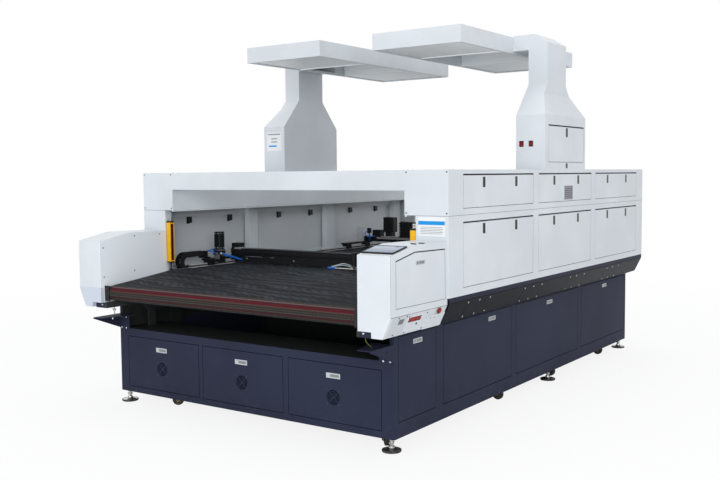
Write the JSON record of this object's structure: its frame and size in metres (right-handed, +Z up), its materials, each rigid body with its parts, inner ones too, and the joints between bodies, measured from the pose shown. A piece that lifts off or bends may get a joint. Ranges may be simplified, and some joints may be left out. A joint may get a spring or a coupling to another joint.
{
  "type": "fabric laser cutting machine",
  "caption": "Conveyor-fed laser cutter for fabric with cross-bed gantries, an enclosed cutting tunnel, side consoles and overhead exhaust canopies.",
  "frame": {"origin": "on the floor under the middle of the machine's overall width and length, machine standing on its levelling feet", "axes": "+Z up; -Y is the front, where the belt nose stands out; +X is the operator's right when facing the front"},
  "size_m": [2.43, 3.85, 2.43],
  "materials": {
    "navy_paint": "fine textured powder coat, dark blue-grey",
    "white_paint": "satin powder coat, cool white",
    "dark_paint": "satin powder coat, dark grey",
    "zinc": "bright zinc plate",
    "yellow_zinc": "yellow passivated zinc plate",
    "black_rubber": "moulded rubber",
    "wheel_rubber": "hard rubber tyre",
    "belt_fabric": "coated conveyor belting, charcoal",
    "black_plastic": "matt moulded nylon",
    "screen": "black bezel with a glossy panel",
    "yellow_paint": "satin yellow powder coat",
    "red_plastic": "moulded red plastic",
    "black_metal": "black anodised and painted aluminium",
    "roller_metal": "turned aluminium tube"
  },
  "bodies": {
    "cabinet": {"base_frame": "navy_paint", "base_panels": "navy_paint", "levelling_feet": "zinc", "foot_rubbers": "black_rubber", "caster_plates": "yellow_zinc", "skirt_plates": "dark_paint", "left_enclosure": "white_paint", "right_enclosure": "white_paint", "cross_beams": "white_paint", "left_tower": "white_paint", "right_tower": "white_paint", "left_canopy": "white_paint", "right_canopy": "white_paint", "left_console": "white_paint", "right_console": "white_paint", "touch_screen": "screen", "conveyor_frame": "navy_paint", "belt": "belt_fabric", "guide_rails": "zinc", "light_curtains": "yellow_paint", "drag_chain": "black_plastic"},
    "right_lower_door_1": {"right_lower_door_1": "white_paint"},
    "right_lower_door_2": {"right_lower_door_2": "white_paint"},
    "right_lower_door_3": {"right_lower_door_3": "white_paint"},
    "right_upper_door_1": {"right_upper_door_1": "white_paint"},
    "right_upper_door_2": {"right_upper_door_2": "white_paint"},
    "right_upper_door_3": {"right_upper_door_3": "white_paint"},
    "left_lower_door_1": {"left_lower_door_1": "white_paint"},
    "left_lower_door_2": {"left_lower_door_2": "white_paint"},
    "left_lower_door_3": {"left_lower_door_3": "white_paint"},
    "left_upper_door_1": {"left_upper_door_1": "white_paint"},
    "left_upper_door_2": {"left_upper_door_2": "white_paint"},
    "left_upper_door_3": {"left_upper_door_3": "white_paint"},
    "right_tower_door": {"right_tower_door": "white_paint"},
    "left_tower_door": {"left_tower_door": "white_paint"},
    "rocker_switch_1": {"rocker_switch_1": "red_plastic"},
    "rocker_switch_2": {"rocker_switch_2": "red_plastic"},
    "stop_button": {"stop_button": "red_plastic"},
    "nose_roller": {"nose_roller": "roller_metal"},
    "rear_roller": {"rear_roller": "roller_metal"},
    "front_gantry": {"front_gantry": "black_metal"},
    "rear_gantry": {"rear_gantry": "black_metal"},
    "front_laser_head": {"front_laser_head": "black_metal"},
    "rear_laser_head": {"rear_laser_head": "black_metal"},
    "fork_1": {"fork_1": "yellow_zinc"},
    "fork_2": {"fork_2": "yellow_zinc"},
    "fork_3": {"fork_3": "yellow_zinc"},
    "fork_4": {"fork_4": "yellow_zinc"},
    "fork_5": {"fork_5": "yellow_zinc"},
    "fork_6": {"fork_6": "yellow_zinc"},
    "fork_7": {"fork_7": "yellow_zinc"},
    "fork_8": {"fork_8": "yellow_zinc"},
    "wheel_1": {"wheel_1": "wheel_rubber"},
    "wheel_2": {"wheel_2": "wheel_rubber"},
    "wheel_3": {"wheel_3": "wheel_rubber"},
    "wheel_4": {"wheel_4": "wheel_rubber"},
    "wheel_5": {"wheel_5": "wheel_rubber"},
    "wheel_6": {"wheel_6": "wheel_rubber"},
    "wheel_7": {"wheel_7": "wheel_rubber"},
    "wheel_8": {"wheel_8": "wheel_rubber"}
  },
  "joints": [
    {"name": "right_lower_door_1_hinge", "type": "hinge", "parent": "cabinet", "child": "right_lower_door_1", "pos_m": [1.215, -0.7205, 0.848], "axis": [0, 1, 0], "range_deg": [0, 100]},
    {"name": "right_lower_door_2_hinge", "type": "hinge", "parent": "cabinet", "child": "right_lower_door_2", "pos_m": [1.215, 0.295, 0.848], "axis": [0, 1, 0], "range_deg": [0, 100]},
    {"name": "right_lower_door_3_hinge", "type": "hinge", "parent": "cabinet", "child": "right_lower_door_3", "pos_m": [1.215, 1.3025, 0.848], "axis": [0, 1, 0], "range_deg": [0, 100]},
    {"name": "right_upper_door_1_hinge", "type": "hinge", "parent": "cabinet", "child": "right_upper_door_1", "pos_m": [1.215, -0.7205, 1.295], "axis": [0, 1, 0], "range_deg": [0, 100]},
    {"name": "right_upper_door_2_hinge", "type": "hinge", "parent": "cabinet", "child": "right_upper_door_2", "pos_m": [1.215, 0.295, 1.295], "axis": [0, 1, 0], "range_deg": [0, 100]},
    {"name": "right_upper_door_3_hinge", "type": "hinge", "parent": "cabinet", "child": "right_upper_door_3", "pos_m": [1.215, 1.3025, 1.295], "axis": [0, 1, 0], "range_deg": [0, 100]},
    {"name": "right_tower_door_hinge", "type": "hinge", "parent": "cabinet", "child": "right_tower_door", "pos_m": [1.215, 0.293, 1.562], "axis": [0, 1, 0], "range_deg": [0, 100]},
    {"name": "left_lower_door_1_hinge", "type": "hinge", "parent": "cabinet", "child": "left_lower_door_1", "pos_m": [-1.215, -0.7205, 0.848], "axis": [0, -1, 0], "range_deg": [0, 100]},
    {"name": "left_lower_door_2_hinge", "type": "hinge", "parent": "cabinet", "child": "left_lower_door_2", "pos_m": [-1.215, 0.295, 0.848], "axis": [0, -1, 0], "range_deg": [0, 100]},
    {"name": "left_lower_door_3_hinge", "type": "hinge", "parent": "cabinet", "child": "left_lower_door_3", "pos_m": [-1.215, 1.3025, 0.848], "axis": [0, -1, 0], "range_deg": [0, 100]},
    {"name": "left_upper_door_1_hinge", "type": "hinge", "parent": "cabinet", "child": "left_upper_door_1", "pos_m": [-1.215, -0.7205, 1.295], "axis": [0, -1, 0], "range_deg": [0, 100]},
    {"name": "left_upper_door_2_hinge", "type": "hinge", "parent": "cabinet", "child": "left_upper_door_2", "pos_m": [-1.215, 0.295, 1.295], "axis": [0, -1, 0], "range_deg": [0, 100]},
    {"name": "left_upper_door_3_hinge", "type": "hinge", "parent": "cabinet", "child": "left_upper_door_3", "pos_m": [-1.215, 1.3025, 1.295], "axis": [0, -1, 0], "range_deg": [0, 100]},
    {"name": "left_tower_door_hinge", "type": "hinge", "parent": "cabinet", "child": "left_tower_door", "pos_m": [-1.215, 0.293, 1.562], "axis": [0, -1, 0], "range_deg": [0, 100]},
    {"name": "rocker_switch_1_pivot", "type": "hinge", "parent": "cabinet", "child": "rocker_switch_1", "pos_m": [1.045, -0.065, 1.683], "axis": [1, 0, 0], "range_deg": [-24, 0]},
    {"name": "rocker_switch_2_pivot", "type": "hinge", "parent": "cabinet", "child": "rocker_switch_2", "pos_m": [1.113, -0.065, 1.683], "axis": [1, 0, 0], "range_deg": [-24, 0]},
    {"name": "stop_button_push", "type": "slide", "parent": "cabinet", "child": "stop_button", "axis": [-0.9054, 0, 0.4246], "range_m": [0, 0.004]},
    {"name": "nose_roller_spin", "type": "hinge", "parent": "cabinet", "child": "nose_roller", "pos_m": [0, -1.841, 0.745], "axis": [1, 0, 0], "continuous": true},
    {"name": "rear_roller_spin", "type": "hinge", "parent": "cabinet", "child": "rear_roller", "pos_m": [0, 1.838, 0.796], "axis": [1, 0, 0], "continuous": true},
    {"name": "front_gantry_travel", "type": "slide", "parent": "cabinet", "child": "front_gantry", "axis": [0, 1, 0], "range_m": [-0.13, 0.95], "deforming": ["drag_chain"]},
    {"name": "rear_gantry_travel", "type": "slide", "parent": "cabinet", "child": "rear_gantry", "axis": [0, 1, 0], "range_m": [-0.3, 0.6]},
    {"name": "front_head_travel", "type": "slide", "parent": "front_gantry", "child": "front_laser_head", "axis": [1, 0, 0], "range_m": [-0.97, 0.65]},
    {"name": "rear_head_travel", "type": "slide", "parent": "rear_gantry", "child": "rear_laser_head", "axis": [1, 0, 0], "range_m": [-0.52, 1.1]},
    {"name": "caster_1_swivel", "type": "hinge", "parent": "cabinet", "child": "fork_1", "pos_m": [0.95, -1.59, 0.087], "axis": [0, 0, 1], "continuous": true},
    {"name": "caster_1_wheel", "type": "hinge", "parent": "fork_1", "child": "wheel_1", "pos_m": [0.96697, -1.60697, 0.0415], "axis": [0.7071, 0.7071, 0], "continuous": true},
    {"name": "caster_2_swivel", "type": "hinge", "parent": "cabinet", "child": "fork_2", "pos_m": [0.985, -0.34, 0.087], "axis": [0, 0, 1], "continuous": true},
    {"name": "caster_2_wheel", "type": "hinge", "parent": "fork_2", "child": "wheel_2", "pos_m": [1.009, -0.34, 0.0415], "axis": [0, 1, 0], "continuous": true},
    {"name": "caster_3_swivel", "type": "hinge", "parent": "cabinet", "child": "fork_3", "pos_m": [0.985, 0.509, 0.087], "axis": [0, 0, 1], "continuous": true},
    {"name": "caster_3_wheel", "type": "hinge", "parent": "fork_3", "child": "wheel_3", "pos_m": [1.009, 0.509, 0.0415], "axis": [0, 1, 0], "continuous": true},
    {"name": "caster_4_swivel", "type": "hinge", "parent": "cabinet", "child": "fork_4", "pos_m": [0.985, 1.472, 0.087], "axis": [0, 0, 1], "continuous": true},
    {"name": "caster_4_wheel", "type": "hinge", "parent": "fork_4", "child": "wheel_4", "pos_m": [1.009, 1.472, 0.0415], "axis": [0, 1, 0], "continuous": true},
    {"name": "caster_5_swivel", "type": "hinge", "parent": "cabinet", "child": "fork_5", "pos_m": [-0.68, -1.612, 0.087], "axis": [0, 0, 1], "continuous": true},
    {"name": "caster_5_wheel", "type": "hinge", "parent": "fork_5", "child": "wheel_5", "pos_m": [-0.66161, -1.59657, 0.0415], "axis": [-0.6428, 0.766, 0], "continuous": true},
    {"name": "caster_6_swivel", "type": "hinge", "parent": "cabinet", "child": "fork_6", "pos_m": [-0.985, -0.34, 0.087], "axis": [0, 0, 1], "continuous": true},
    {"name": "caster_6_wheel", "type": "hinge", "parent": "fork_6", "child": "wheel_6", "pos_m": [-1.009, -0.34, 0.0415], "axis": [0, -1, 0], "continuous": true},
    {"name": "caster_7_swivel", "type": "hinge", "parent": "cabinet", "child": "fork_7", "pos_m": [-0.985, 0.509, 0.087], "axis": [0, 0, 1], "continuous": true},
    {"name": "caster_7_wheel", "type": "hinge", "parent": "fork_7", "child": "wheel_7", "pos_m": [-1.009, 0.509, 0.0415], "axis": [0, -1, 0], "continuous": true},
    {"name": "caster_8_swivel", "type": "hinge", "parent": "cabinet", "child": "fork_8", "pos_m": [-0.985, 1.472, 0.087], "axis": [0, 0, 1], "continuous": true},
    {"name": "caster_8_wheel", "type": "hinge", "parent": "fork_8", "child": "wheel_8", "pos_m": [-1.009, 1.472, 0.0415], "axis": [0, -1, 0], "continuous": true}
  ],
  "couplings": [
    {"joint": "rear_roller_spin", "follows": "nose_roller_spin", "ratio": 1}
  ]
}
